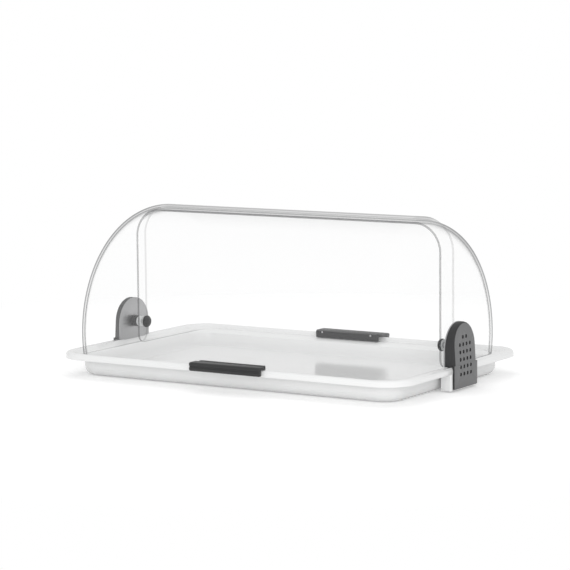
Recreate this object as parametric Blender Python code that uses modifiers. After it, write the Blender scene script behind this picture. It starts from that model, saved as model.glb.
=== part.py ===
"""Countertop bread display bin: a moulded tray base, two clear roll-top covers on one pivot line,
a grip on each cover, and a bracket with the pivot hardware at each end.

Metres, +Z up. The bin stands on Z = 0, X runs along its length, and the customer's side is -Y.
"""
import math

import bmesh
import bpy
from mathutils import Matrix, Vector

MM = 0.001
COLLECTION_NAME = "bread_display_bin"

# Shared clearances
RUN_GAP = 0.3 * MM            # between two pieces that face each other
OVERRUN = 6.0 * MM            # how far a cutter passes the face that it cuts
PIN_GAP = 0.3 * MM            # around a shank in its hole
MERGE = 0.01 * MM             # corners closer than this are one corner
FLAT_ANGLE = math.radians(0.5)

# Tray base
RIM_HALF_LENGTH = 218.3 * MM
RIM_HALF_WIDTH = 140.0 * MM
RIM_CORNER = 34.0 * MM
LIP_BOTTOM_Z = 19.4 * MM
RIM_TOP_Z = 26.2 * MM
LIP_ROUNDING = 3.3 * MM
SHEET = 3.0 * MM              # wall of the moulded tray
CREST_END_WIDTH = 9.3 * MM    # flat top of the rim at the two short ends
CREST_SIDE_WIDTH = 4.4 * MM   # flat top of the rim along the front and the back
LEDGE_Z = 21.5 * MM           # the covers' long edges stand here
LEDGE_STEP_END = 14.8 * MM    # rim edge to the foot of the step, at the ends
LEDGE_STEP_SIDE = 6.0 * MM    # the same, along the front and the back
LEDGE_WIDTH = 8.8 * MM        # flat ledge along the front and the back
WELL_END_INSET = 19.6 * MM    # rim edge to the well's wall, at the ends
WELL_SIDE_INSET = 21.2 * MM   # the same, along the front and the back
WELL_CORNER = 22.0 * MM
WELL_WALL_TOP_Z = 18.0 * MM
WELL_FILLET = 7.0 * MM        # between the well's wall and its floor
CORNER_STEPS = 8
FILLET_STEPS = 4

# End blocks, moulded under the rim, that carry the brackets
BLOCK_HALF_WIDTH = 29.2 * MM
BLOCK_BOTTOM_Z = 1.5 * MM     # the blocks stay clear of the counter
BLOCK_EDGE = 2.5 * MM
BLOCK_WALL = 2.4 * MM
BLOCK_FRONT_WALL = 1.5 * MM   # behind the bracket's skirt

# Clear covers
PIVOT_Z = 45.3 * MM
PIVOT_POINT = (0.0, 0.0, PIVOT_Z)
COVER_SIDE_SETBACK = 4.8 * MM # rim edge to the outer cover's widest line
COVER_OUTER_RADIUS = RIM_HALF_WIDTH - COVER_SIDE_SETBACK
COVER_END_SETBACK = 18.0 * MM # rim edge to the outer cover's end wall
COVER_HALF_LENGTH = RIM_HALF_LENGTH - COVER_END_SETBACK
COVER_WALL = 2.5 * MM
COVER_END_FILLET = 35.8 * MM
COVER_NEST_GAP = 1.5 * MM     # running space between the two covers
COVER_OVERLAP = 10.6 * MM     # how far each cover reaches past the pivot line
COVER_TOE = 10.0 * MM         # rounding of the end wall's lower corner by the pivot
TURN_STEPS = 64

# Grips on the covers
GRIP_LENGTH = 88.0 * MM
GRIP_TOP_Z = 29.8 * MM
GRIP_BOTTOM_Z = 20.4 * MM
GRIP_THICKNESS = 6.0 * MM
GRIP_LIP_GAP = 0.8 * MM
GRIP_ROUNDING = 2.0 * MM
GRIP_GROOVE = 0.8 * MM
GRIP_GROOVE_HEIGHT = 2.4 * MM
FRONT_GRIP_X = 10.0 * MM
REAR_GRIP_X = 0.0
CLAMP_LENGTH = 82.0 * MM
CLAMP_THICKNESS = 3.0 * MM
CLAMP_ROUNDING = 0.8 * MM
CLAMP_SCREW_X = 32.0 * MM     # each side of the grip's middle
CLAMP_SCREW_Z = 28.3 * MM
CLAMP_SCREW_RADIUS = 0.6 * MM
CLAMP_HEAD_RADIUS = 1.2 * MM
CLAMP_HEAD_HEIGHT = 0.8 * MM
CLAMP_SCREW_BITE = 5.2 * MM   # thread length inside the grip

# Brackets
BRACKET_STAND_OUT = 1.7 * MM  # outer face past the rim edge
BRACKET_FACE_X = RIM_HALF_LENGTH + BRACKET_STAND_OUT
PLATE_SETBACK = 9.8 * MM      # rim edge to the steel plate's inner face
PLATE_X = RIM_HALF_LENGTH - PLATE_SETBACK
PLATE_THICKNESS = 1.5 * MM
ARCH_INNER_HALF_WIDTH = 28.0 * MM
ARCH_OUTER_HALF_WIDTH = 24.0 * MM
ARCH_TOP_Z = 71.9 * MM
ARCH_STEPS = 16
FACE_LEAN = 3.5               # degrees that the outer face leans inwards above the rim
HOUSING_EDGE = 2.4 * MM
HOUSING_WALL = 2.5 * MM
SKIRT_HALF_WIDTH = 25.4 * MM
SKIRT_THICKNESS = 2.5 * MM
SKIRT_BOTTOM_Z = 2.8 * MM
DIMPLE_RADIUS = 2.1 * MM
DIMPLE_DEPTH = 1.6 * MM
DIMPLE_PITCH = 7.4 * MM       # between the columns
DIMPLE_ROW_PITCH = 7.8 * MM
DIMPLE_FIRST_Z = 17.2 * MM
DIMPLE_ROWS = 6
DIMPLE_STEPS = 10
LEG_HALF_WIDTH = 20.0 * MM
LEG_FOOT_Z = 6.1 * MM         # underside of the plate's foot
FOOT_LENGTH = 5.4 * MM

# Pivot hardware, from the knob outwards
KNOB_RADIUS = 6.75 * MM
KNOB_LENGTH = 4.6 * MM
KNOB_DOME = 2.2 * MM
KNOB_DOME_SHARES = ((0.0, 0.45), (0.3, 0.8), (1.0, 1.0))   # along the dome, of the radius
BOLT_RADIUS = 2.5 * MM
BOLT_HEAD_BITE = 2.6 * MM     # length held inside the knob
BOLT_PAST_PLATE = 6.5 * MM
WASHER_RADIUS = 6.0 * MM
INNER_WASHER_THICKNESS = 0.6 * MM
OUTER_WASHER_THICKNESS = 1.0 * MM
SPACER_RADIUS = 6.3 * MM
INSERT_RADIUS = 4.2 * MM
INSERT_LENGTH = 5.4 * MM
INSERT_BOSS_RADIUS = 7.0 * MM

# Foot screws under each bracket
SCREW_Y = 13.0 * MM
SCREW_RADIUS = 1.25 * MM
SCREW_HEAD_RADIUS = 2.2 * MM
SCREW_HEAD_HEIGHT = 1.3 * MM
SCREW_HEAD_SHARE = 0.6        # flat top of a screw head, of its radius
SCREW_SEAT_Z = 3.5 * MM       # bottom of the counterbore
NUT_RADIUS = 2.5 * MM
NUT_HEIGHT = 2.4 * MM
ROUND_STEPS = 24
SMALL_STEPS = 12

COLOURS = {
    "white_plastic": ((0.86, 0.87, 0.87, 1.0), 0.22, 0.0),
    "clear_plastic": ((0.93, 0.95, 0.96, 1.0), 0.05, 0.0),
    "dark_plastic": ((0.075, 0.078, 0.082, 1.0), 0.48, 0.0),
    "black_plastic": ((0.02, 0.02, 0.022, 1.0), 0.35, 0.0),
    "nylon": ((0.80, 0.81, 0.82, 1.0), 0.30, 0.0),
    "brushed_steel": ((0.55, 0.56, 0.57, 1.0), 0.32, 1.0),
    "brass": ((0.72, 0.55, 0.27, 1.0), 0.35, 1.0),
}


def start_scene():
    for item in list(bpy.data.objects):
        bpy.data.objects.remove(item, do_unlink=True)
    model = bpy.data.collections.new(COLLECTION_NAME)
    cutters = bpy.data.collections.new("cutters")
    bpy.context.scene.collection.children.link(model)
    bpy.context.scene.collection.children.link(cutters)
    return model, cutters


MODEL, CUTTERS = start_scene()


def material_named(name):
    existing = bpy.data.materials.get(name)
    if existing:
        return existing
    colour, roughness, metallic = COLOURS[name]
    material = bpy.data.materials.new(name)
    material.use_nodes = True
    shader = material.node_tree.nodes["Principled BSDF"]
    shader.inputs["Base Color"].default_value = colour
    shader.inputs["Roughness"].default_value = roughness
    shader.inputs["Metallic"].default_value = metallic
    material.diffuse_color = colour
    return material


def new_object(name, bm, material=None):
    """Turns a bmesh into an object with outward faces, in the model or the cutter collection."""
    bmesh.ops.recalc_face_normals(bm, faces=bm.faces)
    mesh = bpy.data.meshes.new(name)
    bm.to_mesh(mesh)
    bm.free()
    item = bpy.data.objects.new(name, mesh)
    if material:
        MODEL.objects.link(item)
        mesh.materials.append(material_named(material))
    else:
        CUTTERS.objects.link(item)
        item.hide_render = True
        item.display_type = "WIRE"
    return item


def boolean(item, operation, *tools, solver="EXACT"):
    """Adds live Boolean modifiers, one for each tool."""
    for tool in tools:
        modifier = item.modifiers.new(operation.lower(), "BOOLEAN")
        modifier.operation = operation
        modifier.solver = solver
        modifier.object = tool


def settle(item):
    """Applies the modifiers of a piece, so that its mesh can be copied or cut again."""
    depsgraph = bpy.context.evaluated_depsgraph_get()
    mesh = bpy.data.meshes.new_from_object(item.evaluated_get(depsgraph))
    item.modifiers.clear()
    item.data = mesh


def smooth(item, angle=35.0):
    item.data.shade_smooth()
    item.data.set_sharp_from_angle(angle=math.radians(angle))


def box(name, low, high, material=None):
    bm = bmesh.new()
    bmesh.ops.create_cube(bm, size=1.0)
    size = Vector(high) - Vector(low)
    bmesh.ops.scale(bm, vec=size, verts=bm.verts)
    bmesh.ops.translate(bm, vec=Vector(low) + size / 2, verts=bm.verts)
    return new_object(name, bm, material)


def rod(name, radius, start, end, steps, material=None, second_radius=None):
    """A cylinder or cone between two points."""
    start, end = Vector(start), Vector(end)
    axis = end - start
    bm = bmesh.new()
    bmesh.ops.create_cone(bm, cap_ends=True, segments=steps, radius1=radius,
                          radius2=radius if second_radius is None else second_radius,
                          depth=axis.length)
    turn = axis.to_track_quat("Z", "Y").to_matrix().to_4x4()
    bmesh.ops.transform(bm, matrix=Matrix.Translation((start + end) / 2) @ turn, verts=bm.verts)
    return new_object(name, bm, material)


def turned_about_x(name, profile, steps, material=None):
    """Spins an (x, radius) profile once round the pivot line; off the line, it is closed first."""
    bm = bmesh.new()
    verts = [bm.verts.new((x, 0.0, PIVOT_Z + radius)) for x, radius in profile]
    edges = [bm.edges.new(pair) for pair in zip(verts, verts[1:])]
    if profile[0][1] > 0.0:
        edges.append(bm.edges.new((verts[-1], verts[0])))
    bmesh.ops.spin(bm, geom=verts + edges, cent=(0.0, 0.0, PIVOT_Z), axis=(1.0, 0.0, 0.0),
                   angle=math.tau, steps=steps, use_merge=True)
    bmesh.ops.remove_doubles(bm, verts=bm.verts, dist=MERGE)
    return new_object(name, bm, material)


def ring(name, inner, outer, start_x, end_x, material):
    """A washer, sleeve or spacer on the pivot line."""
    profile = [(start_x, inner), (end_x, inner), (end_x, outer), (start_x, outer)]
    return turned_about_x(name, profile, ROUND_STEPS, material)


def arc(centre, radius, start, end, steps):
    """Points on an arc, in degrees, both ends included."""
    points = []
    for i in range(steps + 1):
        angle = math.radians(start + (end - start) * i / steps)
        points.append((centre[0] + radius * math.cos(angle), centre[1] + radius * math.sin(angle)))
    return points


def rounded_rectangle(half_x, half_y, radius, steps=CORNER_STEPS):
    corners = ((1, 1, 0), (-1, 1, 90), (-1, -1, 180), (1, -1, 270))
    points = []
    for side_x, side_y, start in corners:
        centre = (side_x * (half_x - radius), side_y * (half_y - radius))
        points += arc(centre, radius, start, start + 90, steps)
    return points


def loft(bm, loops, cap_first, cap_last):
    """Joins a chain of closed loops that have as many points each, point to point."""
    rings = [[bm.verts.new(point) for point in points] for points in loops]
    for first, second in zip(rings, rings[1:]):
        count = len(first)
        for i in range(count):
            j = (i + 1) % count
            bm.faces.new((first[i], first[j], second[j], second[i]))
    if cap_first:
        bm.faces.new(rings[0])
    if cap_last:
        bm.faces.new(rings[-1])


def extruded_outline(name, points, start, end, material=None, along="X"):
    """A flat outline drawn as a 2D curve, given its thickness along X or Y and made a mesh."""
    curve = bpy.data.curves.new(name, "CURVE")
    curve.dimensions = "2D"
    curve.fill_mode = "BOTH"
    curve.extrude = (end - start) / 2
    spline = curve.splines.new("POLY")
    spline.points.add(len(points) - 1)
    for point, (across, up) in zip(spline.points, points):
        point.co = (across, up, 0.0, 1.0)
    spline.use_cyclic_u = True
    drawing = bpy.data.objects.new(name + "_drawing", curve)
    CUTTERS.objects.link(drawing)
    mesh = bpy.data.meshes.new_from_object(drawing.evaluated_get(bpy.context.evaluated_depsgraph_get()))
    bpy.data.objects.remove(drawing, do_unlink=True)
    bm = bmesh.new()
    bm.from_mesh(mesh)
    bpy.data.meshes.remove(mesh)
    bmesh.ops.remove_doubles(bm, verts=bm.verts, dist=MERGE)
    caps = [edge for edge in bm.edges if edge.is_manifold and edge.calc_face_angle() < FLAT_ANGLE]
    bmesh.ops.dissolve_edges(bm, edges=caps, use_verts=False)
    middle = (start + end) / 2
    if along == "X":
        turn = Matrix(((0, 0, 1, middle), (1, 0, 0, 0), (0, 1, 0, 0), (0, 0, 0, 1)))
    else:
        turn = Matrix(((1, 0, 0, 0), (0, 0, -1, middle), (0, 1, 0, 0), (0, 0, 0, 1)))
    bmesh.ops.transform(bm, matrix=turn, verts=bm.verts)
    return new_object(name, bm, material)


def mirrored(item, name):
    """The same piece at the other end of the bin."""
    bm = bmesh.new()
    bm.from_mesh(item.data)
    bmesh.ops.scale(bm, vec=(-1.0, 1.0, 1.0), verts=bm.verts)
    bmesh.ops.reverse_faces(bm, faces=bm.faces)
    mesh = bpy.data.meshes.new(name)
    bm.to_mesh(mesh)
    bm.free()
    mesh.materials.append(item.data.materials[0])
    copy = bpy.data.objects.new(name, mesh)
    MODEL.objects.link(copy)
    return copy


def seat(item, origin, parent=None):
    """Moves a piece's origin without moving the piece, and hangs it on a parent."""
    item.data.transform(Matrix.Translation(-Vector(origin)))
    item.location = origin
    if parent:
        item.parent = parent
        item.location = Vector(origin) - parent.location


def both_ends(item, part_name):
    """Names the right-hand piece and adds its left-hand twin."""
    settle(item)
    smooth(item)
    item.name = "right_" + part_name
    twin = mirrored(item, "left_" + part_name)
    smooth(twin)
    middle = sum(vert.co.x for vert in item.data.vertices) / len(item.data.vertices)
    seat(item, (middle, 0.0, PIVOT_Z))
    seat(twin, (-middle, 0.0, PIVOT_Z))


# Tray base

def tray_section():
    """Rings of the moulded sheet's upper face, as (end inset, side inset, corner radius, height)."""
    rings = [(0.0, 0.0, RIM_CORNER, LIP_BOTTOM_Z)]
    shoulder_z = RIM_TOP_Z - LIP_ROUNDING
    for across, up in arc((LIP_ROUNDING, shoulder_z), LIP_ROUNDING, 180, 90, FILLET_STEPS):
        rings.append((across, across, RIM_CORNER - across, up))
    rings.append((CREST_END_WIDTH, CREST_SIDE_WIDTH, RIM_CORNER - CREST_SIDE_WIDTH, RIM_TOP_Z))
    rings.append((LEDGE_STEP_END, LEDGE_STEP_SIDE, RIM_CORNER - LEDGE_STEP_SIDE, LEDGE_Z))
    ledge_end = (LEDGE_STEP_END + WELL_END_INSET) / 2
    rings.append((ledge_end, LEDGE_STEP_SIDE + LEDGE_WIDTH, WELL_CORNER + LEDGE_WIDTH / 2, LEDGE_Z))
    floor_z = SHEET
    rings.append((WELL_END_INSET, WELL_SIDE_INSET, WELL_CORNER, WELL_WALL_TOP_Z))
    for across, up in arc((WELL_FILLET, floor_z + WELL_FILLET), WELL_FILLET, 180, 270, FILLET_STEPS):
        rings.append((WELL_END_INSET + across, WELL_SIDE_INSET + across, WELL_CORNER - across, up))
    return rings


def make_tray():
    bm = bmesh.new()
    loops = []
    for end_inset, side_inset, corner, height in tray_section():
        plan = rounded_rectangle(RIM_HALF_LENGTH - end_inset, RIM_HALF_WIDTH - side_inset, corner)
        loops.append([(x, y, height) for x, y in plan])
    loft(bm, loops, False, True)
    tray = new_object("base_tray", bm, "white_plastic")
    floor = min(tray.data.polygons, key=lambda face: face.center.z)
    if floor.normal.z < 0.0:
        tray.data.flip_normals()
    solidify = tray.modifiers.new("sheet", "SOLIDIFY")
    solidify.thickness = SHEET
    solidify.offset = -1.0
    solidify.use_even_offset = True
    return tray


BRACKET_RECESS = RIM_HALF_LENGTH - (BRACKET_FACE_X - SKIRT_THICKNESS - RUN_GAP)
SOCKET_END_X = RIM_HALF_LENGTH - BRACKET_RECESS - BLOCK_FRONT_WALL
SOCKET_FLOOR_Z = LEG_FOOT_Z - RUN_GAP
SCREW_X = PLATE_X + PLATE_THICKNESS + FOOT_LENGTH / 2


def span_box(name, side, near_x, far_x, low_y, high_y, low_z, high_z):
    """A box cutter at one end of the bin; side -1 mirrors it."""
    x_values = sorted((side * near_x, side * far_x))
    return box(name, (x_values[0], low_y, low_z), (x_values[1], high_y, high_z))


def end_block(side):
    """A block under the rim with rounded upright edges; its top lies inside the moulded sheet."""
    outer = RIM_HALF_LENGTH - RUN_GAP
    inner = PLATE_X - RUN_GAP - BLOCK_WALL
    crest_x = RIM_HALF_LENGTH - CREST_END_WIDTH + SHEET / 4
    top = RIM_TOP_Z - SHEET / 2
    outline = [(inner, BLOCK_BOTTOM_Z), (outer, BLOCK_BOTTOM_Z), (outer, top - LIP_ROUNDING),
               (outer - LIP_ROUNDING / 2, top), (crest_x, top), (inner, top - (crest_x - inner))]
    block = extruded_outline("block", [(side * x, z) for x, z in outline],
                             -BLOCK_HALF_WIDTH, BLOCK_HALF_WIDTH, along="Y")
    bm = bmesh.new()
    bm.from_mesh(block.data)
    upright = [edge for edge in bm.edges if min(side * vert.co.x for vert in edge.verts) > outer - MERGE
               and abs(edge.verts[0].co.z - edge.verts[1].co.z) > top / 2]
    bmesh.ops.bevel(bm, geom=upright, offset=BLOCK_EDGE, segments=FILLET_STEPS, affect="EDGES",
                    profile=0.5)
    bm.to_mesh(block.data)
    bm.free()
    return block


def block_cuts(side):
    """The recess for the skirt, the socket for the leg, and two pockets that lighten the block."""
    skirt_y = SKIRT_HALF_WIDTH + RUN_GAP
    socket_y = LEG_HALF_WIDTH + RUN_GAP
    above, below = RIM_TOP_Z + OVERRUN, -OVERRUN
    recess_x = RIM_HALF_LENGTH - BRACKET_RECESS
    cuts = [span_box("recess", side, recess_x, RIM_HALF_LENGTH + OVERRUN, -skirt_y, skirt_y, below, above),
            span_box("socket", side, PLATE_X - RUN_GAP, SOCKET_END_X, -socket_y, socket_y,
                     SOCKET_FLOOR_Z, above)]
    near, far = socket_y + BLOCK_WALL, BLOCK_HALF_WIDTH - BLOCK_WALL
    top = RIM_TOP_Z - SHEET - RUN_GAP
    cuts.append(span_box("pocket", side, PLATE_X + BLOCK_WALL, SOCKET_END_X, near, far, below, top))
    cuts.append(span_box("pocket", side, PLATE_X + BLOCK_WALL, SOCKET_END_X, -far, -near, below, top))
    for y in (-SCREW_Y, SCREW_Y):
        x = side * SCREW_X
        cuts.append(rod("shank_hole", SCREW_RADIUS + PIN_GAP, (x, y, below), (x, y, LEG_FOOT_Z), SMALL_STEPS))
        cuts.append(rod("counterbore", SCREW_HEAD_RADIUS + PIN_GAP, (x, y, below), (x, y, SCREW_SEAT_Z),
                        SMALL_STEPS))
    return cuts


def finish_tray(tray):
    """Joins and cuts the end blocks. The exact solver loses a face of the second block here."""
    settle(tray)
    for side in (-1, 1):
        boolean(tray, "UNION", end_block(side), solver="MANIFOLD")
    for side in (-1, 1):
        boolean(tray, "DIFFERENCE", *block_cuts(side), solver="MANIFOLD")
    settle(tray)
    smooth(tray, 30.0)


# Clear covers

def drum_profile(half_length, radius, fillet):
    """Half section of a closed drum with rounded ends, from one pole to the other."""
    right = arc((half_length - fillet, radius - fillet), fillet, 90, 0, 2 * FILLET_STEPS)
    left = [(-x, r) for x, r in reversed(right)]
    return [(-half_length, 0.0)] + left + right + [(half_length, 0.0)]


def drum(name, half_length, radius, fillet, material=None):
    return turned_about_x(name, drum_profile(half_length, radius, fillet), TURN_STEPS, material)


def toe_cutter(edge_y, direction):
    """Leaves a rounded corner where a cover's end walls meet its ledge edge by the pivot."""
    bottom = LEDGE_Z + RUN_GAP
    reach = COVER_HALF_LENGTH + OVERRUN
    y_values = sorted((edge_y - direction * COVER_TOE, edge_y + direction * OVERRUN))
    block = box("toe", (-reach, y_values[0], bottom - OVERRUN), (reach, y_values[1], bottom + COVER_TOE))
    centre_y, centre_z = edge_y - direction * COVER_TOE, bottom + COVER_TOE
    keep = rod("toe_round", COVER_TOE, (-reach - OVERRUN, centre_y, centre_z),
               (reach + OVERRUN, centre_y, centre_z), ROUND_STEPS)
    boolean(block, "DIFFERENCE", keep)
    settle(block)
    return block


def make_cover(name, half_length, radius, edge_y, direction):
    """A quarter drum with end walls. It reaches from its ledge edge to edge_y, past the pivot."""
    fillet = COVER_END_FILLET - (COVER_OUTER_RADIUS - radius)
    cover = drum(name, half_length, radius, fillet, "clear_plastic")
    inside = drum("inside", half_length - COVER_WALL, radius - COVER_WALL, fillet - COVER_WALL)
    far = COVER_OUTER_RADIUS + OVERRUN
    reach = COVER_HALF_LENGTH + OVERRUN
    behind_y = sorted((edge_y, direction * far))
    behind = box("behind", (-reach, behind_y[0], PIVOT_Z - far), (reach, behind_y[1], PIVOT_Z + far))
    below = box("below", (-reach, -far, PIVOT_Z - far), (reach, far, LEDGE_Z + RUN_GAP))
    pivot = rod("pivot", BOLT_RADIUS + PIN_GAP, (-reach, 0.0, PIVOT_Z), (reach, 0.0, PIVOT_Z), ROUND_STEPS)
    boolean(cover, "DIFFERENCE", inside, behind, below, toe_cutter(edge_y, direction), pivot)
    return cover


def screw_path(name, radius, wall_radius, side, grip_x, screw_x):
    """A short hole through a cover's wall, square to the bin's length."""
    x = grip_x + screw_x
    y_values = [side * (wall_radius - 3 * COVER_WALL), side * (wall_radius + 3 * COVER_WALL)]
    return rod(name, radius, (x, y_values[0], CLAMP_SCREW_Z), (x, y_values[1], CLAMP_SCREW_Z), SMALL_STEPS)


def make_covers():
    covers = {}
    inner_radius = COVER_OUTER_RADIUS - COVER_WALL - COVER_NEST_GAP
    inner_half = COVER_HALF_LENGTH - COVER_WALL - COVER_NEST_GAP
    layout = (("front_cover", COVER_HALF_LENGTH, COVER_OUTER_RADIUS, COVER_OVERLAP, 1, -1, FRONT_GRIP_X),
              ("rear_cover", inner_half, inner_radius, -COVER_OVERLAP, -1, 1, REAR_GRIP_X))
    for name, half_length, radius, edge_y, direction, side, grip_x in layout:
        cover = make_cover(name, half_length, radius, edge_y, direction)
        for screw_x in (-CLAMP_SCREW_X, CLAMP_SCREW_X):
            boolean(cover, "DIFFERENCE",
                    screw_path("hole", CLAMP_SCREW_RADIUS + PIN_GAP, radius, side, grip_x, screw_x))
        settle(cover)
        smooth(cover)
        seat(cover, PIVOT_POINT)
        covers[name] = (cover, radius)
    return covers


# Grips

def grip_outline(side):
    """Section of a grip: a web over the rim, and a grip that hangs in front of the lip."""
    lip_y = RIM_HALF_WIDTH + GRIP_LIP_GAP
    outer_y = lip_y + GRIP_THICKNESS
    web_bottom = RIM_TOP_Z + 2 * RUN_GAP
    start_y = COVER_OUTER_RADIUS - 4 * COVER_WALL
    groove_z = (GRIP_TOP_Z + GRIP_BOTTOM_Z) / 2
    half_groove = GRIP_GROOVE_HEIGHT / 2
    r = GRIP_ROUNDING
    points = [(start_y, web_bottom), (lip_y, web_bottom), (lip_y, GRIP_BOTTOM_Z)]
    points += arc((outer_y - r, GRIP_BOTTOM_Z + r), r, 270, 360, FILLET_STEPS)
    points += [(outer_y, groove_z - half_groove), (outer_y - GRIP_GROOVE, groove_z - half_groove / 2)]
    points += [(outer_y - GRIP_GROOVE, groove_z + half_groove / 2), (outer_y, groove_z + half_groove)]
    points += arc((outer_y - r, GRIP_TOP_Z - r), r, 0, 90, FILLET_STEPS)
    points += [(start_y, GRIP_TOP_Z)]
    return [(side * y, z) for y, z in points]


def soften_ends(item, size, axis=0):
    """Chamfers the long piece's end faces with a Bevel on their outline."""
    bm = bmesh.new()
    bm.from_mesh(item.data)
    low = min(vert.co[axis] for vert in bm.verts)
    high = max(vert.co[axis] for vert in bm.verts)
    ends = [edge for edge in bm.edges
            if all(abs(vert.co[axis] - low) < RUN_GAP for vert in edge.verts)
            or all(abs(vert.co[axis] - high) < RUN_GAP for vert in edge.verts)]
    bmesh.ops.bevel(bm, geom=ends, offset=size, segments=2, affect="EDGES", profile=0.5,
                    clamp_overlap=True)
    bm.to_mesh(item.data)
    bm.free()


def make_grip(name, cover, side, radius, centre_x):
    half = GRIP_LENGTH / 2
    grip = extruded_outline(name, grip_outline(side), centre_x - half, centre_x + half, "dark_plastic")
    soften_ends(grip, GRIP_ROUNDING / 2)
    cover_space = rod("cover_space", radius + RUN_GAP, (centre_x - GRIP_LENGTH, 0.0, PIVOT_Z),
                      (centre_x + GRIP_LENGTH, 0.0, PIVOT_Z), 2 * TURN_STEPS)
    boolean(grip, "DIFFERENCE", cover_space)
    for screw_x in (-CLAMP_SCREW_X, CLAMP_SCREW_X):
        x = centre_x + screw_x
        boolean(grip, "DIFFERENCE",
                rod("thread", CLAMP_SCREW_RADIUS + PIN_GAP, (x, side * (radius - OVERRUN), CLAMP_SCREW_Z),
                    (x, side * (radius + CLAMP_SCREW_BITE), CLAMP_SCREW_Z), SMALL_STEPS))
    settle(grip)
    smooth(grip)
    seat(grip, PIVOT_POINT, cover)


def make_clamp(name, cover, side, radius, centre_x):
    """The strip inside a cover that its grip is screwed to."""
    wall_inner = radius - COVER_WALL
    lowest = LEDGE_Z + 2 * RUN_GAP
    inner_y = math.sqrt(wall_inner ** 2 - (PIVOT_Z - lowest) ** 2) - CLAMP_THICKNESS
    half = CLAMP_LENGTH / 2
    top = GRIP_TOP_Z
    outline = [(side * y, z) for y, z in ((inner_y, lowest), (wall_inner, lowest),
                                          (wall_inner, top), (inner_y, top))]
    clamp = extruded_outline(name, outline, centre_x - half, centre_x + half, "dark_plastic")
    soften_ends(clamp, CLAMP_ROUNDING)
    inside = rod("inside_space", wall_inner - RUN_GAP, (centre_x - CLAMP_LENGTH, 0.0, PIVOT_Z),
                 (centre_x + CLAMP_LENGTH, 0.0, PIVOT_Z), 2 * TURN_STEPS)
    boolean(clamp, "INTERSECT", inside)
    for screw_x in (-CLAMP_SCREW_X, CLAMP_SCREW_X):
        x = centre_x + screw_x
        boolean(clamp, "DIFFERENCE",
                rod("clearance", CLAMP_SCREW_RADIUS + PIN_GAP, (x, side * (inner_y - OVERRUN), CLAMP_SCREW_Z),
                    (x, side * (radius + OVERRUN), CLAMP_SCREW_Z), SMALL_STEPS))
    settle(clamp)
    smooth(clamp)
    seat(clamp, PIVOT_POINT, cover)
    return inner_y


def turned_screw(name, points, centre, along, steps=SMALL_STEPS):
    """Spins a (radius, place) half outline of a screw round an upright or a Y axis."""
    bm = bmesh.new()
    x, y, z = centre
    if along == "Z":
        verts = [bm.verts.new((x + r, y, place)) for r, place in points]
        axis = (0.0, 0.0, 1.0)
    else:
        verts = [bm.verts.new((x + r, place, z)) for r, place in points]
        axis = (0.0, 1.0, 0.0)
    edges = [bm.edges.new(pair) for pair in zip(verts, verts[1:])]
    bmesh.ops.spin(bm, geom=verts + edges, cent=centre, axis=axis, angle=math.tau, steps=steps,
                   use_merge=True)
    bmesh.ops.remove_doubles(bm, verts=bm.verts, dist=MERGE)
    return new_object(name, bm, "brushed_steel")


def make_clamp_screws(label, cover, side, radius, centre_x, head_y):
    """Two small screws: head inside, shank through the cover's wall into the grip."""
    seat_y = head_y - RUN_GAP
    tip_y = radius + CLAMP_SCREW_BITE - RUN_GAP
    head_end = seat_y - CLAMP_HEAD_HEIGHT
    profile = [(0.0, tip_y), (CLAMP_SCREW_RADIUS, tip_y - CLAMP_SCREW_RADIUS),
               (CLAMP_SCREW_RADIUS, seat_y), (CLAMP_HEAD_RADIUS, seat_y),
               (CLAMP_HEAD_RADIUS, (seat_y + head_end) / 2),
               (CLAMP_HEAD_RADIUS * SCREW_HEAD_SHARE, head_end), (0.0, head_end)]
    for place, offset in (("left", -CLAMP_SCREW_X), ("right", CLAMP_SCREW_X)):
        points = [(r, side * y) for r, y in profile]
        screw = turned_screw(f"{label}_handle_{place}_screw", points,
                             (centre_x + offset, 0.0, CLAMP_SCREW_Z), "Y")
        smooth(screw)
        seat(screw, PIVOT_POINT, cover)


# Brackets

def arch_outline(half_width, top_z, bottom_z, half_bottom=None):
    """A round-topped outline that stands on a straight base, drawn from the lower right."""
    centre_z = top_z - half_width
    foot = half_width if half_bottom is None else half_bottom
    return [(foot, bottom_z)] + arc((0.0, centre_z), half_width, 0, 180, ARCH_STEPS) + [(-foot, bottom_z)]


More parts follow.
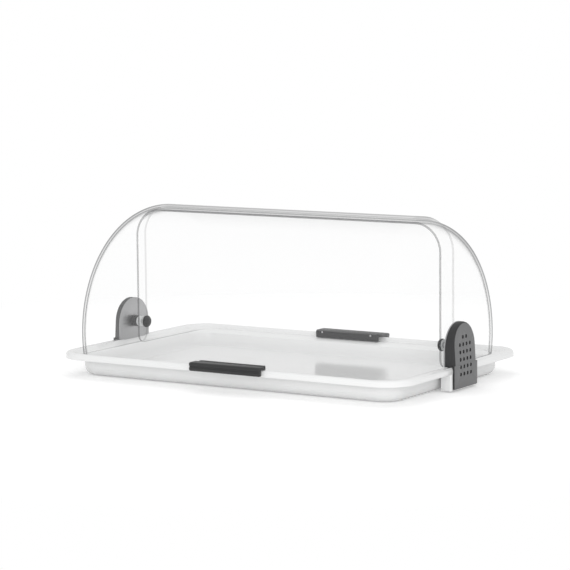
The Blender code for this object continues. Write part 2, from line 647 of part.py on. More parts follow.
def make_plate():
    """Steel plate: an arch above the rim, a leg through it and a foot with two nuts."""
    plate_end = PLATE_X + PLATE_THICKNESS
    bottom = RIM_TOP_Z + RUN_GAP
    foot_top = LEG_FOOT_Z + PLATE_THICKNESS
    leg_end = LEG_FOOT_Z + PLATE_THICKNESS / 2
    outline = arch_outline(ARCH_INNER_HALF_WIDTH, ARCH_TOP_Z, leg_end)
    plate = extruded_outline("plate", outline, PLATE_X, plate_end, "brushed_steel")
    beyond = ARCH_INNER_HALF_WIDTH + OVERRUN
    for near, far in ((-beyond, -LEG_HALF_WIDTH), (LEG_HALF_WIDTH, beyond)):
        boolean(plate, "DIFFERENCE", box("shoulder", (PLATE_X - OVERRUN, near, -OVERRUN),
                                         (plate_end + OVERRUN, far, bottom)))
    foot_y = LEG_HALF_WIDTH - RUN_GAP
    foot = box("foot", (PLATE_X + PLATE_THICKNESS / 4, -foot_y, LEG_FOOT_Z),
               (plate_end + FOOT_LENGTH, foot_y, foot_top))
    boolean(plate, "UNION", foot)
    for y in (-SCREW_Y, SCREW_Y):
        boolean(plate, "UNION", rod("nut", NUT_RADIUS, (SCREW_X, y, foot_top - PLATE_THICKNESS / 2),
                                    (SCREW_X, y, foot_top + NUT_HEIGHT), 6))
        boolean(plate, "DIFFERENCE", rod("thread", SCREW_RADIUS + PIN_GAP, (SCREW_X, y, -OVERRUN),
                                         (SCREW_X, y, foot_top + NUT_HEIGHT + OVERRUN), SMALL_STEPS))
    boolean(plate, "DIFFERENCE", rod("bolt_hole", BOLT_RADIUS + PIN_GAP, (PLATE_X - OVERRUN, 0.0, PIVOT_Z),
                                     (plate_end + OVERRUN, 0.0, PIVOT_Z), ROUND_STEPS))
    both_ends(plate, "bracket_plate")


def face_x(height):
    """Where the bracket's outer face stands at a height."""
    return BRACKET_FACE_X - max(0.0, height - RIM_TOP_Z) * math.tan(math.radians(FACE_LEAN))


def housing_shell():
    """The thick upper part, narrower at its outer face, with a rounded front edge."""
    start_x = PLATE_X + PLATE_THICKNESS + RUN_GAP
    bottom = RIM_TOP_Z + RUN_GAP
    edge = HOUSING_EDGE
    bm = bmesh.new()
    loops = [[(start_x, y, z) for y, z in arch_outline(ARCH_INNER_HALF_WIDTH, ARCH_TOP_Z, bottom)]]
    for inset, back in arc((edge, edge), edge, 180, 270, FILLET_STEPS):
        outline = arch_outline(ARCH_OUTER_HALF_WIDTH - inset, ARCH_TOP_Z - inset, bottom)
        loops.append([(face_x(z) - back, y, z) for y, z in outline])
    loft(bm, loops, True, True)
    return new_object("housing", bm, "dark_plastic")


def housing_hollow():
    """The space behind the housing's walls, open towards the plate."""
    wall = HOUSING_WALL
    bottom = RIM_TOP_Z + RUN_GAP + wall
    outline = arch_outline(ARCH_OUTER_HALF_WIDTH - wall, ARCH_TOP_Z - wall, bottom)
    bm = bmesh.new()
    near = [(PLATE_X, y, z) for y, z in outline]
    far = [(face_x(z) - wall, y, z) for y, z in outline]
    loft(bm, [near, far], True, True)
    return new_object("hollow", bm)


def dimple_places():
    """Two holes in the top row and four in each row below."""
    places = []
    for row in range(DIMPLE_ROWS):
        columns = (-0.5, 0.5) if row == DIMPLE_ROWS - 1 else (-1.5, -0.5, 0.5, 1.5)
        height = DIMPLE_FIRST_Z + row * DIMPLE_ROW_PITCH
        places += [(column * DIMPLE_PITCH, height) for column in columns]
    return places


def make_housing():
    start_x = PLATE_X + PLATE_THICKNESS + RUN_GAP
    housing = housing_shell()
    bottom = RIM_TOP_Z + RUN_GAP
    skirt = box("skirt", (BRACKET_FACE_X - SKIRT_THICKNESS, -SKIRT_HALF_WIDTH, SKIRT_BOTTOM_Z),
                (BRACKET_FACE_X, SKIRT_HALF_WIDTH, bottom + HOUSING_WALL / 2))
    boss = rod("insert_boss", INSERT_BOSS_RADIUS, (start_x, 0.0, PIVOT_Z),
               (face_x(PIVOT_Z) - HOUSING_WALL / 2, 0.0, PIVOT_Z), ROUND_STEPS)
    bore = rod("insert_bore", INSERT_RADIUS + RUN_GAP, (PLATE_X, 0.0, PIVOT_Z),
               (start_x + INSERT_LENGTH + RUN_GAP, 0.0, PIVOT_Z), ROUND_STEPS)
    boolean(housing, "DIFFERENCE", housing_hollow())
    boolean(housing, "UNION", skirt, boss)
    boolean(housing, "DIFFERENCE", bore)
    for y, z in dimple_places():
        boolean(housing, "DIFFERENCE", rod("dimple", DIMPLE_RADIUS, (face_x(z) - DIMPLE_DEPTH, y, z),
                                           (BRACKET_FACE_X + OVERRUN, y, z), DIMPLE_STEPS))
    both_ends(housing, "bracket_housing")


def make_foot_screws():
    """Two pan-head screws per bracket, driven upwards through the block into the foot's nuts."""
    seat_z = SCREW_SEAT_Z - RUN_GAP
    top = LEG_FOOT_Z + PLATE_THICKNESS + NUT_HEIGHT + SCREW_RADIUS
    head_end = seat_z - SCREW_HEAD_HEIGHT
    profile = [(0.0, top), (SCREW_RADIUS, top - SCREW_RADIUS), (SCREW_RADIUS, seat_z),
               (SCREW_HEAD_RADIUS, seat_z), (SCREW_HEAD_RADIUS, (seat_z + head_end) / 2),
               (SCREW_HEAD_RADIUS * SCREW_HEAD_SHARE, head_end), (0.0, head_end)]
    for place, y in (("front", -SCREW_Y), ("rear", SCREW_Y)):
        screw = turned_screw("foot_screw", profile, (SCREW_X, y, 0.0), "Z")
        both_ends(screw, f"bracket_{place}_screw")


# Pivot hardware

def make_pivot_stack():
    hole = BOLT_RADIUS + PIN_GAP
    inner_wall = COVER_HALF_LENGTH - 2 * COVER_WALL - COVER_NEST_GAP
    nest = inner_wall + COVER_WALL
    outside = COVER_HALF_LENGTH
    washer_x = inner_wall - RUN_GAP - INNER_WASHER_THICKNESS
    knob_end = washer_x - RUN_GAP
    dome = KNOB_DOME
    bite = knob_end - BOLT_HEAD_BITE
    knob_face = knob_end - KNOB_LENGTH
    profile = [(knob_face, 0.0)]
    profile += [(knob_face + dome * along, KNOB_RADIUS * across) for along, across in KNOB_DOME_SHARES]
    profile += [(knob_end, KNOB_RADIUS), (knob_end, hole), (bite - RUN_GAP, hole), (bite - RUN_GAP, 0.0)]
    both_ends(turned_about_x("knob", profile, ROUND_STEPS, "black_plastic"), "cap_knob")
    both_ends(ring("washer", hole, WASHER_RADIUS, washer_x, washer_x + INNER_WASHER_THICKNESS, "nylon"),
              "inner_washer")
    both_ends(ring("washer", hole, WASHER_RADIUS, nest + RUN_GAP, nest + COVER_NEST_GAP - RUN_GAP, "nylon"),
              "middle_washer")
    outer_start = outside + RUN_GAP
    outer_end = outer_start + OUTER_WASHER_THICKNESS
    both_ends(ring("washer", hole, WASHER_RADIUS, outer_start, outer_end, "nylon"), "outer_washer")
    both_ends(ring("spacer", hole, SPACER_RADIUS, outer_end + RUN_GAP, PLATE_X - RUN_GAP, "black_plastic"),
              "pivot_spacer")
    insert_start = PLATE_X + PLATE_THICKNESS + 2 * RUN_GAP
    insert_end = insert_start + INSERT_LENGTH - RUN_GAP
    both_ends(ring("insert", hole, INSERT_RADIUS, insert_start, insert_end, "brass"), "threaded_insert")
    bolt_end = PLATE_X + BOLT_PAST_PLATE
    both_ends(rod("bolt", BOLT_RADIUS, (bite, 0.0, PIVOT_Z), (bolt_end, 0.0, PIVOT_Z), ROUND_STEPS,
                  "brushed_steel"), "pivot_bolt")


def main():
    finish_tray(make_tray())
    covers = make_covers()
    layout = (("front", "front_cover", -1, FRONT_GRIP_X), ("rear", "rear_cover", 1, REAR_GRIP_X))
    for label, cover_name, side, centre_x in layout:
        cover, radius = covers[cover_name]
        make_grip(label + "_handle", cover, side, radius, centre_x)
        head_y = make_clamp(label + "_handle_clamp", cover, side, radius, centre_x)
        make_clamp_screws(label, cover, side, radius, centre_x, head_y)
    make_plate()
    make_housing()
    make_foot_screws()
    make_pivot_stack()


main()
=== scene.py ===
# %% [markdown]
# A countertop bread display bin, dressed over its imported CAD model.
# The CAD model fixes every size and every joint. This script only adds what a camera sees:
# smooth clear covers, softened edges, and finishes with the detail of the real plastics and metals.

# %% Load the frame
import math

import bmesh
import bpy
from mathutils import Matrix, Vector


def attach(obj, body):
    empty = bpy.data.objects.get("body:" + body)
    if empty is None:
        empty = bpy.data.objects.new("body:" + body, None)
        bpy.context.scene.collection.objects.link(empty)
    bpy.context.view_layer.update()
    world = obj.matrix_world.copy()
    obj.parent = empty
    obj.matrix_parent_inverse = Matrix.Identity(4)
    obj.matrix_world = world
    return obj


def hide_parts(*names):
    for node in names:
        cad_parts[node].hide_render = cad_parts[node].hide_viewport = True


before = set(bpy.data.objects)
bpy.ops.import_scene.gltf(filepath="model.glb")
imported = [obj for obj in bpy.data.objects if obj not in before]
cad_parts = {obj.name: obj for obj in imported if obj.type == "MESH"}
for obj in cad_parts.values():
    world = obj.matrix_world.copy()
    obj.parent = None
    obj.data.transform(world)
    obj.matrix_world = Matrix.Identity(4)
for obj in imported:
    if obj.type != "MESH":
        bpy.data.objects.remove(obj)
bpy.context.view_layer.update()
MM = 0.001

# %% [markdown]
# The camera comes first, so that every later step can be compared with the photograph.
# Its place was found by fitting the rim, the brackets and the covers' outline: the bin is seen from
# 32 degrees round to the right and 7 degrees above the counter, through a long lens.

# %% Camera
IMAGE_PX = 570
SENSOR_MM = 36.0
FOCAL_PX = 2497.27
AZIMUTH, ELEVATION, ROLL = (math.radians(a) for a in (32.14, 7.01, 0.50))
SHIFT_X, SHIFT_Y, DISTANCE = 4.745 * MM, -94.936 * MM, 2753.8 * MM
LIFT = 2.5 * MM


def camera_axes():
    """The camera's right, up and back directions, rolled about its line of sight."""
    back = Vector((math.sin(AZIMUTH) * math.cos(ELEVATION), -math.cos(AZIMUTH) * math.cos(ELEVATION),
                   math.sin(ELEVATION)))
    right = Vector((math.cos(AZIMUTH), math.sin(AZIMUTH), 0.0))
    up = back.cross(right)
    rolled_right = right * math.cos(ROLL) - up * math.sin(ROLL)
    rolled_up = right * math.sin(ROLL) + up * math.cos(ROLL)
    return rolled_right, rolled_up, back


def place_camera():
    right, up, back = camera_axes()
    data = bpy.data.cameras.new("photo_camera")
    data.sensor_width = SENSOR_MM
    data.lens = FOCAL_PX * SENSOR_MM / IMAGE_PX
    data.clip_end = 3 * DISTANCE
    camera = bpy.data.objects.new("photo_camera", data)
    bpy.context.scene.collection.objects.link(camera)
    place = back * DISTANCE - right * SHIFT_X - up * SHIFT_Y + Vector((0.0, 0.0, LIFT))
    turn = Matrix((right, up, back)).transposed().to_4x4()
    camera.matrix_world = Matrix.Translation(place) @ turn
    bpy.context.scene.camera = camera
    return camera


camera = place_camera()
print("camera at", [round(c, 3) for c in camera.location], "lens", round(camera.data.lens, 1))

# %% [markdown]
# Shader maths reads better as plain expressions. Wire wraps an output socket, so that
# 1 - mask or noise * 0.2 adds the Math node by itself. Finish holds one material and its shader.


# %% Shader helpers
class Wire:
    """An output socket that takes part in Python expressions."""

    def __init__(self, finish, socket):
        self.finish = finish
        self.socket = socket

    def math(self, operation, first, second):
        return self.finish.add("ShaderNodeMath", {"operation": operation}, {0: first, 1: second})

    def __add__(self, other):
        return self.math("ADD", self, other)

    def __radd__(self, other):
        return self.math("ADD", other, self)

    def __sub__(self, other):
        return self.math("SUBTRACT", self, other)

    def __rsub__(self, other):
        return self.math("SUBTRACT", other, self)

    def __mul__(self, other):
        return self.math("MULTIPLY", self, other)

    def __rmul__(self, other):
        return self.math("MULTIPLY", other, self)

    def __truediv__(self, other):
        return self.math("DIVIDE", self, other)

    def __pow__(self, power):
        return self.math("POWER", self, power)

    def least(self, other):
        return self.math("MINIMUM", self, other)

    def most(self, other):
        return self.math("MAXIMUM", self, other)


class Finish:
    """One material, its Principled shader and the nodes that feed it."""

    def __init__(self, name, **constants):
        self.material = bpy.data.materials.new(name)
        self.material.use_nodes = True
        self.tree = self.material.node_tree
        self.shader = self.tree.nodes["Principled BSDF"]
        self.output = self.tree.nodes["Material Output"]
        for socket, value in constants.items():
            self.shader.inputs[socket.replace("_", " ")].default_value = value

    def fill(self, node, inputs):
        for key, value in inputs.items():
            if isinstance(value, Wire):
                self.tree.links.new(value.socket, node.inputs[key])
            else:
                node.inputs[key].default_value = value

    def add(self, kind, settings=None, inputs=None, output=0):
        node = self.tree.nodes.new(kind)
        for key, value in (settings or {}).items():
            setattr(node, key, value)
        self.fill(node, inputs or {})
        return Wire(self, node.outputs[output])

    def drive(self, **inputs):
        self.fill(self.shader, {key.replace("_", " "): value for key, value in inputs.items()})

    def place(self, scale=(1.0, 1.0, 1.0)):
        """Object coordinates in metres, stretched by scale."""
        coordinates = self.add("ShaderNodeTexCoord", output="Object")
        return self.add("ShaderNodeMapping", {}, {"Vector": coordinates, "Scale": scale})

    def noise(self, size, detail=3.0, stretch=(1.0, 1.0, 1.0)):
        """Noise from 0 to 1 whose patches are about size metres across."""
        return self.add("ShaderNodeTexNoise", {}, {"Vector": self.place(stretch), "Scale": 1.0 / size,
                                                   "Detail": detail})

    def blend(self, factor, first, second):
        """A colour between two colours."""
        node = self.tree.nodes.new("ShaderNodeMix")
        node.data_type = "RGBA"
        self.fill(node, {0: factor, 6: first, 7: second})
        return Wire(self, node.outputs[2])

    def bump(self, height, distance, strength=1.0):
        return self.add("ShaderNodeBump", {}, {"Height": height, "Distance": distance,
                                               "Strength": strength})


print("shader helpers:", Wire.__name__, Finish.__name__)

# %% [markdown]
# White plastic. The real tray is injection moulded in a glossy melamine-like white.
# Its gloss isn't perfect: the surface waves a little over centimetres, fine scuffs change the
# roughness, and the colour is a touch uneven. Three noises at those scales say so.

# %% White plastic
CLOUD_SIZE = 60 * MM
SCUFF_SIZE = 3 * MM
SCUFF_STRETCH = (1.0, 0.35, 1.0)
WAVE_DEPTH = 0.25 * MM
WHITE_LOW, WHITE_HIGH = (0.84, 0.845, 0.845, 1.0), (0.87, 0.872, 0.87, 1.0)

white = Finish("white_plastic_finish", IOR=1.5, Coat_Weight=0.25, Coat_Roughness=0.08)
cloud = white.noise(CLOUD_SIZE, 2.0)
scuffs = white.noise(SCUFF_SIZE, 6.0, SCUFF_STRETCH)
white.drive(Base_Color=white.blend(cloud, WHITE_LOW, WHITE_HIGH),
            Roughness=0.09 + scuffs * 0.10,
            Normal=white.bump(cloud + scuffs * 0.02, WAVE_DEPTH, 0.5))
print("white plastic:", len(white.tree.nodes), "nodes")

# %% [markdown]
# Clear plastic. The covers are thin polished sheet whose two faces are parallel, so light goes
# straight on through them, and face on the sheet shows only a faint pale haze. Refraction would
# blur what stands behind it. Where the sheet is seen at a grazing angle, light has a long way
# through it, so the covers end in dark lines. Layer Weight finds those faces and drives the Alpha.
# The rounded ends curve more tightly, so their lines need a wider band than the long drum does.

# %% Clear plastic
PALE = (0.92, 0.925, 0.93, 1.0)
LINE_GREY = (0.085, 0.087, 0.09, 1.0)
HAZE_SIZE = 25 * MM
FACE_ON_ALPHA = 0.03
VEIL_START, VEIL_ALPHA, SHADE_SPAN = 0.55, 0.06, 0.3
LINE_POWER = 1.4
DRUM_LINE = {"start": 0.82, "span": 0.11, "alpha": 1.0}
END_LINE = {"start": 0.60, "span": 0.26, "alpha": 0.92}
END_START, END_SPAN = 160.0 * MM, 25.0 * MM


def facing_band(finish, start, span):
    """0 below the facing start, and 1 from start + span on. A face seen square on has facing 0."""
    facing = finish.add("ShaderNodeLayerWeight", {}, {"Blend": 0.5}, output="Facing")
    return ((facing - start) / span).most(0.0).least(1.0)


def drum_to_end(end, key):
    """A value of the line that changes from the drum's to the rounded end's."""
    return DRUM_LINE[key] + end * (END_LINE[key] - DRUM_LINE[key])


clear = Finish("clear_cover_finish", IOR=1.49, Specular_IOR_Level=0.10)
across = clear.add("ShaderNodeSeparateXYZ", {}, {0: clear.place()}, output="X")
end = ((across.math("ABSOLUTE", across, 0.0) - END_START) / END_SPAN).most(0.0).least(1.0)
line = facing_band(clear, drum_to_end(end, "start"), drum_to_end(end, "span")) ** LINE_POWER
veil = facing_band(clear, VEIL_START, 1.0 - VEIL_START) * VEIL_ALPHA
clear.drive(Base_Color=clear.blend(facing_band(clear, VEIL_START, SHADE_SPAN), PALE, LINE_GREY),
            Roughness=0.06 + clear.noise(HAZE_SIZE, 4.0) * 0.06,
            Alpha=(line * drum_to_end(end, "alpha") + veil + FACE_ON_ALPHA).least(1.0))
print("clear plastic:", len(clear.tree.nodes), "nodes")

# %% [markdown]
# The covers' cut edges. They are less polished than the faces, and they show as grey lines. In the
# photograph the inner cover's edge is the darker of the two, so each cover's edge has its own finish.

# %% Cut edges of the covers
EDGE_GRAIN = 2 * MM
EDGE_START = 0.5


def edge_finish(name, face_on, most):
    """The cut edge of a cover, whose Alpha rises from face_on by most towards a grazing angle."""
    finish = Finish(name, IOR=1.49, Specular_IOR_Level=0.10, Base_Color=LINE_GREY)
    finish.drive(Roughness=0.2 + finish.noise(EDGE_GRAIN, 4.0) * 0.15,
                 Alpha=facing_band(finish, EDGE_START, 1.0 - EDGE_START) * most + face_on)
    return finish


front_edge = edge_finish("front_edge_finish", face_on=0.22, most=0.30)
rear_edge = edge_finish("rear_edge_finish", face_on=0.52, most=0.40)
print("edge finishes:", front_edge.material.name, rear_edge.material.name)

# %% [markdown]
# Dark plastic of the grips and the brackets. It is moulded in a spark-eroded tool, which leaves a
# fine even grain: a small noise as bump, and a little of it in the colour and the roughness.
# The brackets' broad outer faces are lit more than their flanks, so they get a lighter copy of the same
# plastic: painted light. The knobs are blacker, and the washers are pale nylon with the same grain.


# %% Dark plastics
PATCH_SIZE = 20 * MM
GRAIN_DEPTH = 0.06 * MM


def grained_plastic(name, dark, light, roughness, grain):
    finish = Finish(name, IOR=1.5, Specular_IOR_Level=0.35)
    fine = finish.noise(grain, 4.0)
    broad = finish.noise(PATCH_SIZE, 2.0)
    finish.drive(Base_Color=finish.blend(fine * 0.6 + broad * 0.4, dark, light),
                 Roughness=roughness + fine * 0.15,
                 Normal=finish.bump(fine, GRAIN_DEPTH, 0.7))
    return finish


dark = grained_plastic("dark_plastic_finish", (0.022, 0.022, 0.023, 1.0), (0.040, 0.040, 0.041, 1.0),
                       roughness=0.38, grain=0.5 * MM)
housing_dark = grained_plastic("bracket_plastic_finish", (0.024, 0.024, 0.025, 1.0),
                               (0.040, 0.040, 0.041, 1.0), roughness=0.42, grain=0.6 * MM)
# A lighter copy of the housing plastic: painted light for the outer faces that the light falls on.
housing_painted_light = grained_plastic("bracket_painted_light_finish", (0.155, 0.156, 0.158, 1.0),
                               (0.190, 0.191, 0.193, 1.0), roughness=0.42, grain=0.6 * MM)
black = grained_plastic("black_plastic_finish", (0.007, 0.007, 0.008, 1.0), (0.014, 0.014, 0.015, 1.0),
                        roughness=0.28, grain=0.4 * MM)
nylon = grained_plastic("nylon_finish", (0.66, 0.67, 0.67, 1.0), (0.76, 0.77, 0.77, 1.0),
                        roughness=0.30, grain=0.8 * MM)
print("plastics:", [finish.material.name for finish in (dark, housing_dark, housing_painted_light, black, nylon)])

# %% [markdown]
# Metals. Brushing draws long fine scratches in one direction, so the noise is squeezed across
# that direction. The scratches change the roughness most, and the normal only a little.


# %% Metals
SCRATCH_SIZE = 0.5 * MM
TARNISH_SIZE = 15 * MM


def brushed(name, dark_tone, light_tone, roughness, stretch, depth):
    finish = Finish(name, Metallic=1.0)
    scratches = finish.noise(SCRATCH_SIZE, 5.0, stretch)
    patches = finish.noise(TARNISH_SIZE, 2.0)
    finish.drive(Base_Color=finish.blend(scratches * 0.5 + patches * 0.5, dark_tone, light_tone),
                 Roughness=roughness + scratches * 0.16,
                 Normal=finish.bump(scratches, depth, 0.4))
    return finish


steel = brushed("brushed_steel_finish", (0.36, 0.36, 0.365, 1.0), (0.48, 0.48, 0.485, 1.0),
                roughness=0.28, stretch=(1.0, 1.0, 0.04), depth=0.02 * MM)
screw_steel = brushed("screw_steel_finish", (0.45, 0.45, 0.46, 1.0), (0.62, 0.62, 0.63, 1.0),
                      roughness=0.22, stretch=(1.0, 1.0, 1.0), depth=0.01 * MM)
brass = brushed("turned_brass_finish", (0.55, 0.40, 0.17, 1.0), (0.70, 0.54, 0.27, 1.0),
                roughness=0.25, stretch=(0.05, 1.0, 1.0), depth=0.02 * MM)
print("metals:", [finish.material.name for finish in (steel, screw_steel, brass)])

# %% [markdown]
# A CAD node arrives as loose flat triangles. A copy with its corners merged can be shaded smooth
# and can have its sharp edges rounded, which is what makes moulded plastic catch a line of light.
# The copy then stands for the node, so the node's true size and place are kept.


# %% Softened copies of CAD pieces
def deselect_all():
    if bpy.context.object and bpy.context.object.mode != "OBJECT":
        bpy.ops.object.mode_set(mode="OBJECT")
    bpy.ops.object.select_all(action="DESELECT")


def make_active(piece):
    deselect_all()
    piece.select_set(True)
    bpy.context.view_layer.objects.active = piece


def edit_mode(piece, kind):
    make_active(piece)
    bpy.ops.object.mode_set(mode="EDIT")
    bpy.ops.mesh.select_mode(type=kind)
    bpy.ops.mesh.select_all(action="DESELECT")


def apply_modifier(piece, kind, **settings):
    make_active(piece)
    modifier = piece.modifiers.new(kind.lower(), kind)
    for key, value in settings.items():
        setattr(modifier, key, value)
    bpy.ops.object.modifier_apply(modifier=modifier.name)


def finish_piece(piece, body, slot, *nodes):
    """Hangs the piece on its body and hides the CAD nodes that it stands for."""
    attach(piece, body)
    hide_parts(*nodes)


MERGE = 0.005 * MM
FLAT = math.radians(0.5)
EDGE_ANGLE = math.radians(38.0)
TRAY_SMOOTH_ANGLE = math.radians(30.0)
TRAY_ROUNDING, GRIP_ROUNDING, CLAMP_ROUNDING = 0.35 * MM, 0.35 * MM, 0.25 * MM
PLATE_ROUNDING, HOUSING_ROUNDING, INSERT_ROUNDING = 0.2 * MM, 0.3 * MM, 0.15 * MM
BOLT_ROUNDING, KNOB_ROUNDING, SPACER_ROUNDING, WASHER_ROUNDING = 0.2 * MM, 0.3 * MM, 0.3 * MM, 0.1 * MM
ROUNDING_SEGMENTS = 2


def softened(node_name, body, slot, finish, rounding=0.0, smooth_angle=EDGE_ANGLE):
    """A copy of a CAD node with its corners merged and its sharp edges rounded."""
    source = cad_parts[node_name]
    piece = bpy.data.objects.new(node_name + "_piece", source.data.copy())
    bpy.context.scene.collection.objects.link(piece)
    piece.data.transform(source.matrix_world)
    make_active(piece)
    bpy.ops.object.mode_set(mode="EDIT")
    bpy.ops.mesh.select_all(action="SELECT")
    bpy.ops.mesh.remove_doubles(threshold=MERGE)
    bpy.ops.mesh.dissolve_limited(angle_limit=FLAT)
    bpy.ops.object.mode_set(mode="OBJECT")
    if rounding:
        apply_modifier(piece, "BEVEL", width=rounding, segments=ROUNDING_SEGMENTS, limit_method="ANGLE",
                       angle_limit=EDGE_ANGLE, harden_normals=False, use_clamp_overlap=True)
    make_active(piece)
    bpy.ops.object.shade_smooth_by_angle(angle=smooth_angle)
    piece.data.materials.clear()
    piece.data.materials.append(finish.material)
    finish_piece(piece, body, slot, node_name)
    return piece


tray = softened("base_tray", "base", "white_plastic", white, TRAY_ROUNDING, TRAY_SMOOTH_ANGLE)
print("tray faces:", len(tray.data.polygons))

# %% [markdown]
# Grips and clamp strips. Each cover is lifted by a dark moulded grip on its long edge, which two
# screws hold to a strip inside the cover. Their shapes are in the CAD model already, so they are
# softened copies, and each one rides on its cover.

# %% Grips and clamp strips
for place in ("front", "rear"):
    cover = place + "_cover"
    softened(place + "_handle", cover, "dark_plastic", dark, GRIP_ROUNDING)
    softened(place + "_handle_clamp", cover, "dark_plastic", dark, CLAMP_ROUNDING)
    for side in ("left", "right"):
        softened(f"{place}_handle_{side}_screw", cover, "screw_steel", screw_steel)
    print("grip on the", cover)

# %% [markdown]
# Brackets and pivots. At each end a steel plate stands in the tray's end block, and a dark plastic
# housing with blind holes covers it. The pivot bolt carries both covers, with washers between them
# and a black knob on its end. All of it stays with the base. The housing's outward faces are picked
# by their normal and given painted light: a lighter copy of its plastic, for the light that falls on
# them.

# %% Brackets and pivots
OUTWARD_LEAST = 0.93


def give_faces(piece, finish, wanted):
    """Gives the faces that satisfy wanted a finish of their own."""
    slots = piece.data.materials
    if finish.material.name not in slots:
        slots.append(finish.material)
    edit_mode(piece, "FACE")
    mesh = bmesh.from_edit_mesh(piece.data)
    for face in mesh.faces:
        face.select = wanted(face)
    bmesh.update_edit_mesh(piece.data)
    piece.active_material_index = slots.find(finish.material.name)
    bpy.ops.object.material_slot_assign()
    bpy.ops.object.mode_set(mode="OBJECT")


def looks_outward(face):
    """Whether a face looks along X, away from the bin."""
    return face.normal.x * math.copysign(1.0, face.calc_center_median().x) > OUTWARD_LEAST


for side in ("left", "right"):
    softened(side + "_bracket_plate", "base", "brushed_steel", steel, PLATE_ROUNDING)
    housing = softened(side + "_bracket_housing", "base", "dark_plastic", housing_dark, HOUSING_ROUNDING)
    # The outward faces get painted light: the lighter copy of the housing plastic.
    give_faces(housing, housing_painted_light, looks_outward)
    softened(side + "_threaded_insert", "base", "brass", brass, INSERT_ROUNDING)
    softened(side + "_pivot_bolt", "base", "screw_steel", screw_steel, BOLT_ROUNDING)
    softened(side + "_cap_knob", "base", "black_plastic", black, KNOB_ROUNDING)
    softened(side + "_pivot_spacer", "base", "black_plastic", black, SPACER_ROUNDING)
    for washer in ("inner", "middle", "outer"):
        softened(f"{side}_{washer}_washer", "base", "nylon", nylon, WASHER_ROUNDING)
    for place in ("front", "rear"):
        softened(f"{side}_bracket_{place}_screw", "base", "screw_steel", screw_steel)
    print(side, "bracket faces:", len(housing.data.polygons))

# %% [markdown]
# Clear covers. Each is a quarter of a drum with rounded ends. A cylinder is added at its size,
# the two end circles are bevelled to the real fillet, and two bisects cut away what isn't there.
# Solidify then gives the wall, and the wall's cut edge gets a finish of its own.
# Shadow and reflection rays pass the covers by. Clear sheet hardly casts a shadow, and the renderer
# gives up after a few clear faces in a row, which left the steel plate behind four of them black.

# %% Cover sizes
PIVOT_Z = 45.3 * MM
FOOT_Z = 21.8 * MM
WALL = 2.5 * MM
NEST_GAP = 1.5 * MM
OVERLAP_Y = 10.6 * MM
TOE = 10.0 * MM
OUTER = {"radius": 135.2 * MM, "half_length": 200.3 * MM, "fillet": 35.8 * MM}
STEP_IN = WALL + NEST_GAP
INNER = {key: value - STEP_IN for key, value in OUTER.items()}
HOLE_RADIUS = 2.8 * MM
ROUND_STEPS = 192
FILLET_STEPS = 16
HOLE_STEPS = 64
SMOOTH_COVER = math.radians(30.0)
NEAR_END = 1.0 * MM
ROD_REACH_SHARE, BLOCK_REACH_SHARE = 1.2, 2.2
TOE_NORMAL_MOST = 0.1
print("inner cover in mm:", {key: round(value / MM, 1) for key, value in INNER.items()})

# %% [markdown]
# Three small tools do the shaping: edges are picked by the place of their corners, a bisect takes
# away one side of a plane, and a rod or a block cuts by a Boolean. The lower corners of the end
# walls are rounded, which a block less a rod does for both ends at once.


# %% Tools for the covers
def select_edges(piece, wanted):
    """Selects the edges whose two corners satisfy wanted."""
    bpy.ops.mesh.select_mode(type="EDGE")
    mesh = bmesh.from_edit_mesh(piece.data)
    for edge in mesh.edges:
        edge.select = wanted(edge.verts[0].co, edge.verts[1].co)
    bmesh.update_edit_mesh(piece.data)


def bisect_away(point, normal):
    """Removes what lies on the normal's side of a plane."""
    bpy.ops.mesh.select_all(action="SELECT")
    bpy.ops.mesh.bisect(plane_co=point, plane_no=normal, clear_outer=True)


def cutter_rod(radius, half_length, centre):
    """A rod along X."""
    deselect_all()
    bpy.ops.mesh.primitive_cylinder_add(vertices=HOLE_STEPS, radius=radius, depth=2 * half_length,
                                        location=centre, rotation=(0.0, math.pi / 2, 0.0))
    return bpy.context.object


def cut(piece, cutter):
    apply_modifier(piece, "BOOLEAN", operation="DIFFERENCE", solver="EXACT", object=cutter)
    bpy.data.objects.remove(cutter, do_unlink=True)


def toe_cutter(edge_y, side, half_length):
    """A block less a rod: what rounds the end walls' lower corner beside the pivot."""
    deselect_all()
    centre_y = edge_y - side * TOE
    bpy.ops.mesh.primitive_cube_add(size=1.0, location=(0.0, edge_y, FOOT_Z))
    block = bpy.context.object
    block.scale = (BLOCK_REACH_SHARE * half_length, 2 * TOE, 2 * TOE)
    bpy.ops.object.transform_apply(location=True, rotation=True, scale=True)
    cut(block, cutter_rod(TOE, ROD_REACH_SHARE * half_length, (0.0, centre_y, FOOT_Z + TOE)))
    return block


print("toe radius in mm:", round(TOE / MM, 1))

# %% [markdown]
# Each cover rides on its own body, so that it swings with its hinge, and stands for its CAD node.


# %% Clear covers
def on_toe(face, side):
    """Whether a face is the cut edge at the rounded lower corner of an end wall."""
    place = face.calc_center_median()
    across_wall = abs(face.normal.x) < TOE_NORMAL_MOST
    return across_wall and place.z < FOOT_Z + TOE and side * place.y > OVERLAP_Y - TOE


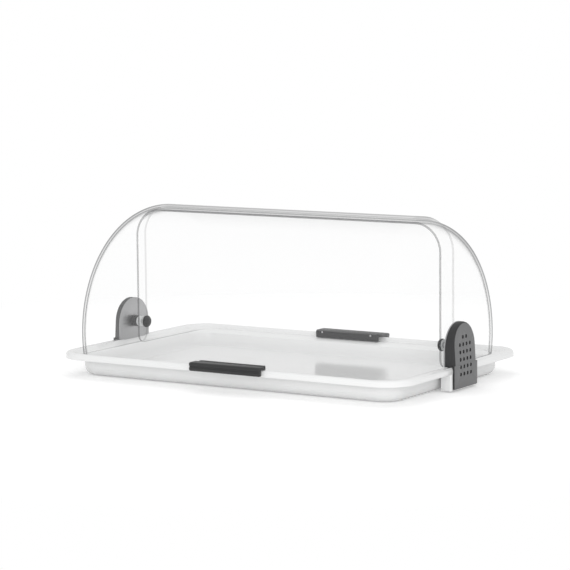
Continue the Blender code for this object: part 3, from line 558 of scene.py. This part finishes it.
def clear_cover(name, radius, half_length, fillet, side, edge):
    """side is 1 for the front cover, whose rear edge lies past the pivot, and -1 for the rear one."""
    deselect_all()
    bpy.ops.mesh.primitive_cylinder_add(vertices=ROUND_STEPS, radius=radius, depth=2 * half_length,
                                        location=(0.0, 0.0, PIVOT_Z), rotation=(0.0, math.pi / 2, 0.0))
    piece = bpy.context.object
    piece.name = name
    bpy.ops.object.transform_apply(location=True, rotation=True, scale=True)
    edit_mode(piece, "EDGE")
    select_edges(piece, lambda a, b: abs(a.x) > half_length - NEAR_END and a.x * b.x > 0)
    bpy.ops.mesh.bevel(offset=fillet, segments=FILLET_STEPS, affect="EDGES", profile=0.5)
    bisect_away((0.0, side * OVERLAP_Y, 0.0), (0.0, side, 0.0))
    bisect_away((0.0, 0.0, FOOT_Z), (0.0, 0.0, -1.0))
    bpy.ops.object.mode_set(mode="OBJECT")
    piece.data.materials.append(clear.material)
    piece.data.materials.append(edge.material)
    apply_modifier(piece, "SOLIDIFY", thickness=WALL, offset=-1.0, use_even_offset=True,
                   material_offset_rim=1)
    cut(piece, toe_cutter(side * OVERLAP_Y, side, half_length))
    cut(piece, cutter_rod(HOLE_RADIUS, ROD_REACH_SHARE * half_length, (0.0, 0.0, PIVOT_Z)))
    give_faces(piece, edge, lambda face: on_toe(face, side))
    make_active(piece)
    bpy.ops.object.shade_smooth_by_angle(angle=SMOOTH_COVER)
    piece.visible_shadow = False
    piece.visible_diffuse = False
    piece.visible_glossy = False
    return piece


front = clear_cover("front_cover_shell", side=1, edge=front_edge, **OUTER)
finish_piece(front, "front_cover", "clear_plastic", "front_cover")
rear = clear_cover("rear_cover_shell", side=-1, edge=rear_edge, **INNER)
finish_piece(rear, "rear_cover", "clear_plastic", "rear_cover")
print("cover faces:", len(front.data.polygons), len(rear.data.polygons))

# %% [markdown]
# The studio. The floor is pale and plain. For the camera, and for reflections, it is lifted to
# white, while its own shading still holds the soft shadow.
# Away from the bin it turns into plain white by a Mix Shader, so that no horizon shows.

# %% Floor
FLOOR_Z = -0.2 * MM
FLOOR_SIZE = 30.0
FLOOR_COLOUR = 0.90
FLOOR_LIFT = 0.27
FADE_START, FADE_SPAN = 0.26, 0.45


def camera_rays(finish):
    """1 for rays that come from the camera, 0 for those that carry light or a reflection."""
    return finish.add("ShaderNodeLightPath", output="Is Camera Ray")


def seen_rays(finish):
    """1 for camera and mirror rays, 0 for those that only carry light."""
    return camera_rays(finish).most(finish.add("ShaderNodeLightPath", output="Is Glossy Ray"))


deselect_all()
bpy.ops.mesh.primitive_plane_add(size=FLOOR_SIZE, location=(0.0, 0.0, FLOOR_Z))
floor = bpy.context.object
floor.name = "studio_floor"
ground = Finish("studio_floor_finish", Roughness=0.9, Emission_Strength=1.0,
                Base_Color=(FLOOR_COLOUR, FLOOR_COLOUR, FLOOR_COLOUR, 1.0), Specular_IOR_Level=0.0)
glow = seen_rays(ground) * FLOOR_LIFT
ground.drive(Emission_Color=ground.add("ShaderNodeCombineColor", {}, {0: glow, 1: glow, 2: glow}))
away = ground.add("ShaderNodeVectorMath", {"operation": "LENGTH"}, {0: ground.place()}, output=1)
fade = ((away - FADE_START) * (1.0 / FADE_SPAN)).most(0.0).least(1.0) * seen_rays(ground)
plain = ground.add("ShaderNodeEmission", {}, {"Color": (1.0, 1.0, 1.0, 1.0), "Strength": 1.0})
shaded = Wire(ground, ground.shader.outputs[0])
blended = ground.add("ShaderNodeMixShader", {}, {0: fade, 1: shaded, 2: plain})
ground.tree.links.new(blended.socket, ground.output.inputs["Surface"])
floor.data.materials.append(ground.material)
print("floor fades to white from", FADE_START, "to", round(FADE_START + FADE_SPAN, 2), "m")


# %% [markdown]
# Light. A large soft lamp above and behind the left end throws a faint shadow forward and to the
# right, a stronger one stands low in front of the right end and reaches under the rim, and the world
# gives the even light of a white studio. To the camera alone the world is plain white.


# %% Lamps and world
def soft_lamp(name, place, target, size, power):
    data = bpy.data.lights.new(name, "AREA")
    data.shape = "DISK"
    data.size = size
    data.energy = power
    lamp = bpy.data.objects.new(name, data)
    bpy.context.scene.collection.objects.link(lamp)
    lamp.location = place
    lamp.rotation_euler = (Vector(target) - Vector(place)).to_track_quat("-Z", "Y").to_euler()
    lamp.visible_glossy = False
    return lamp


soft_lamp("key_lamp", place=(-0.9, 1.0, 2.2), target=(0.0, 0.0, 0.0), size=1.8, power=5.5)
soft_lamp("fill_lamp", place=(1.3, -2.0, 0.35), target=(0.0, 0.0, 0.02), size=1.2, power=20.0)

world = bpy.data.worlds.new("studio_world")
bpy.context.scene.world = world
world.use_nodes = True
WORLD_LIGHT = 0.80


class WorldTree(Finish):
    """The world's nodes, with the same helpers as a material's."""

    def __init__(self, tree):
        self.tree = tree


air = WorldTree(world.node_tree)
background = world.node_tree.nodes["Background"]
level = WORLD_LIGHT + camera_rays(air) * (1.0 - WORLD_LIGHT)
air.fill(background, {"Color": air.add("ShaderNodeCombineColor", {}, {0: level, 1: level, 2: level})})
background.inputs["Strength"].default_value = 1.0
bpy.context.scene.view_settings.view_transform = "Standard"
print("world light:", WORLD_LIGHT)

# %% [markdown]
# Last, nothing is left selected.

# %% Finish
deselect_all()
